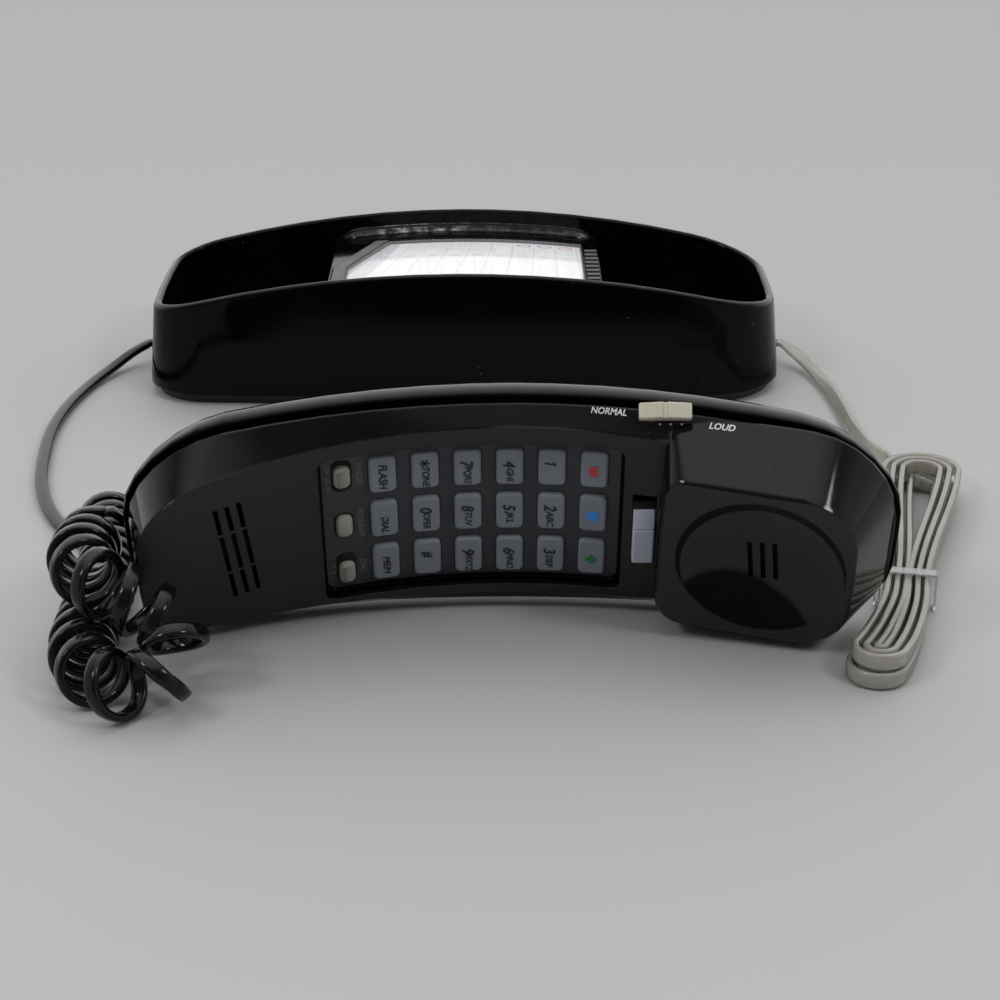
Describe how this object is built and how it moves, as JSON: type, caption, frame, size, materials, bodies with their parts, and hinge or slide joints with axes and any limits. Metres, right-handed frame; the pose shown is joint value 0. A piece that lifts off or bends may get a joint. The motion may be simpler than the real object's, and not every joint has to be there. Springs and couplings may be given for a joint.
{
  "type": "slimline wall telephone",
  "caption": "Slim push-button wall telephone: a handset with its keypad lies on edge before the hollow wall base, with a curly cord and a tied line cord.",
  "frame": {"origin": "centre of the base's underside plane, half way between the two wall keyholes", "axes": "+X along the base from the mouth end to the ear end (to the right in the picture), +Y across the base away from the handset, +Z out of the base's open side (away from the wall when hung)"},
  "size_m": [0.3026, 0.3291, 0.072],
  "materials": {
    "gloss_black_plastic": "glossy moulded",
    "black_plastic": "satin moulded",
    "charcoal_panel": "fine matt texture",
    "black_rubber": "matt",
    "screw_steel": "plated",
    "circuit_board": "solder mask",
    "printed_card": "paper card",
    "clear_window": "clear plastic",
    "grey_strip": "satin",
    "pale_key_plastic": "satin, rounded edges",
    "grey_rubber": "silicone",
    "ringer_brass": "rolled sheet",
    "ivory_plastic": "satin",
    "black_cord": "glossy jacket",
    "clear_plug": "clear plastic",
    "clear_cord": "translucent jacket",
    "clear_tie": "clear plastic"
  },
  "bodies": {
    "base": {"base_shell": "gloss_black_plastic", "base_plate": "black_plastic", "base_feet": "black_rubber", "base_screws": "screw_steel", "base_board": "circuit_board", "cord_jack": "black_plastic", "line_jack": "black_plastic", "index_card": "printed_card", "card_window": "clear_window", "card_bezel": "grey_strip", "rest_catch": "black_plastic", "curly_cord": "black_cord", "curly_lead_base": "black_cord", "curly_plug_base": "clear_plug", "line_plug_base": "clear_plug", "line_lead": "clear_cord", "line_hank": "clear_cord", "line_tail": "clear_cord", "hank_tie": "clear_tie", "line_plug_wall": "clear_plug"},
    "handset": {"handset_front": "gloss_black_plastic", "handset_back": "gloss_black_plastic", "handset_screws": "screw_steel", "keypad_panel": "charcoal_panel", "key_mat": "grey_rubber", "main_board": "circuit_board", "receiver": "black_plastic", "microphone": "black_plastic", "ringer_disc": "ringer_brass", "handset_jack": "black_plastic", "hook_switch": "black_plastic", "slide_switches": "black_plastic", "volume_control": "black_plastic", "curly_lead_handset": "black_cord", "curly_plug_handset": "clear_plug"},
    "key_flash_cap": {"key_flash": "pale_key_plastic"},
    "key_redial_cap": {"key_redial": "pale_key_plastic"},
    "key_memory_cap": {"key_memory": "pale_key_plastic"},
    "key_star_cap": {"key_star": "pale_key_plastic"},
    "key_0_cap": {"key_0": "pale_key_plastic"},
    "key_pound_cap": {"key_pound": "pale_key_plastic"},
    "key_7_cap": {"key_7": "pale_key_plastic"},
    "key_8_cap": {"key_8": "pale_key_plastic"},
    "key_9_cap": {"key_9": "pale_key_plastic"},
    "key_4_cap": {"key_4": "pale_key_plastic"},
    "key_5_cap": {"key_5": "pale_key_plastic"},
    "key_6_cap": {"key_6": "pale_key_plastic"},
    "key_1_cap": {"key_1": "pale_key_plastic"},
    "key_2_cap": {"key_2": "pale_key_plastic"},
    "key_3_cap": {"key_3": "pale_key_plastic"},
    "key_fire_cap": {"key_fire": "pale_key_plastic"},
    "key_police_cap": {"key_police": "pale_key_plastic"},
    "key_medical_cap": {"key_medical": "pale_key_plastic"},
    "hook_key_cap": {"hook_key": "pale_key_plastic"},
    "program_button_cap": {"program_button": "ivory_plastic"},
    "ringer_slide_cap": {"ringer_slide": "ivory_plastic"},
    "dial_slide_cap": {"dial_slide": "ivory_plastic"},
    "volume_slide_knob": {"volume_slide": "ivory_plastic"}
  },
  "joints": [
    {"name": "handset_lift", "type": "slide", "parent": "base", "child": "handset", "axis": [0, 0, 1], "range_m": [0, 0.15]},
    {"name": "key_flash_press", "type": "slide", "parent": "handset", "child": "key_flash_cap", "axis": [-0.1843, 0.9348, 0.3037], "range_m": [0, 0.001], "stiffness_N_per_m": 400, "springref_m": -0.0008},
    {"name": "key_redial_press", "type": "slide", "parent": "handset", "child": "key_redial_cap", "axis": [-0.1843, 0.9348, 0.3037], "range_m": [0, 0.001], "stiffness_N_per_m": 400, "springref_m": -0.0008},
    {"name": "key_memory_press", "type": "slide", "parent": "handset", "child": "key_memory_cap", "axis": [-0.1843, 0.9348, 0.3037], "range_m": [0, 0.001], "stiffness_N_per_m": 400, "springref_m": -0.0008},
    {"name": "key_star_press", "type": "slide", "parent": "handset", "child": "key_star_cap", "axis": [-0.124, 0.9437, 0.3066], "range_m": [0, 0.001], "stiffness_N_per_m": 400, "springref_m": -0.0008},
    {"name": "key_0_press", "type": "slide", "parent": "handset", "child": "key_0_cap", "axis": [-0.124, 0.9437, 0.3066], "range_m": [0, 0.001], "stiffness_N_per_m": 400, "springref_m": -0.0008},
    {"name": "key_pound_press", "type": "slide", "parent": "handset", "child": "key_pound_cap", "axis": [-0.124, 0.9437, 0.3066], "range_m": [0, 0.001], "stiffness_N_per_m": 400, "springref_m": -0.0008},
    {"name": "key_7_press", "type": "slide", "parent": "handset", "child": "key_7_cap", "axis": [-0.0637, 0.9491, 0.3084], "range_m": [0, 0.001], "stiffness_N_per_m": 400, "springref_m": -0.0008},
    {"name": "key_8_press", "type": "slide", "parent": "handset", "child": "key_8_cap", "axis": [-0.0637, 0.9491, 0.3084], "range_m": [0, 0.001], "stiffness_N_per_m": 400, "springref_m": -0.0008},
    {"name": "key_9_press", "type": "slide", "parent": "handset", "child": "key_9_cap", "axis": [-0.0637, 0.9491, 0.3084], "range_m": [0, 0.001], "stiffness_N_per_m": 400, "springref_m": -0.0008},
    {"name": "key_4_press", "type": "slide", "parent": "handset", "child": "key_4_cap", "axis": [-0.0035, 0.9511, 0.309], "range_m": [0, 0.001], "stiffness_N_per_m": 400, "springref_m": -0.0008},
    {"name": "key_5_press", "type": "slide", "parent": "handset", "child": "key_5_cap", "axis": [-0.0035, 0.9511, 0.309], "range_m": [0, 0.001], "stiffness_N_per_m": 400, "springref_m": -0.0008},
    {"name": "key_6_press", "type": "slide", "parent": "handset", "child": "key_6_cap", "axis": [-0.0035, 0.9511, 0.309], "range_m": [0, 0.001], "stiffness_N_per_m": 400, "springref_m": -0.0008},
    {"name": "key_1_press", "type": "slide", "parent": "handset", "child": "key_1_cap", "axis": [0.0568, 0.9495, 0.3085], "range_m": [0, 0.001], "stiffness_N_per_m": 400, "springref_m": -0.0008},
    {"name": "key_2_press", "type": "slide", "parent": "handset", "child": "key_2_cap", "axis": [0.0568, 0.9495, 0.3085], "range_m": [0, 0.001], "stiffness_N_per_m": 400, "springref_m": -0.0008},
    {"name": "key_3_press", "type": "slide", "parent": "handset", "child": "key_3_cap", "axis": [0.0568, 0.9495, 0.3085], "range_m": [0, 0.001], "stiffness_N_per_m": 400, "springref_m": -0.0008},
    {"name": "key_fire_press", "type": "slide", "parent": "handset", "child": "key_fire_cap", "axis": [0.1171, 0.9445, 0.3069], "range_m": [0, 0.001], "stiffness_N_per_m": 400, "springref_m": -0.0008},
    {"name": "key_police_press", "type": "slide", "parent": "handset", "child": "key_police_cap", "axis": [0.1171, 0.9445, 0.3069], "range_m": [0, 0.001], "stiffness_N_per_m": 400, "springref_m": -0.0008},
    {"name": "key_medical_press", "type": "slide", "parent": "handset", "child": "key_medical_cap", "axis": [0.1171, 0.9445, 0.3069], "range_m": [0, 0.001], "stiffness_N_per_m": 400, "springref_m": -0.0008},
    {"name": "hook_press", "type": "slide", "parent": "handset", "child": "hook_key_cap", "axis": [0, 0.9511, 0.309], "range_m": [0, 0.0016], "stiffness_N_per_m": 400, "springref_m": -0.0008},
    {"name": "program_press", "type": "slide", "parent": "handset", "child": "program_button_cap", "axis": [-0.2411, 0.923, 0.2999], "range_m": [0, 0.001], "stiffness_N_per_m": 400, "springref_m": -0.0008},
    {"name": "ringer_set", "type": "slide", "parent": "handset", "child": "ringer_slide_cap", "axis": [0, -0.309, 0.9511], "range_m": [-0.0013, 0.0013]},
    {"name": "dial_set", "type": "slide", "parent": "handset", "child": "dial_slide_cap", "axis": [0, -0.309, 0.9511], "range_m": [0, 0.0026]},
    {"name": "volume_set", "type": "slide", "parent": "handset", "child": "volume_slide_knob", "axis": [1, 0, 0], "range_m": [-0.0015, 0.0015]}
  ]
}
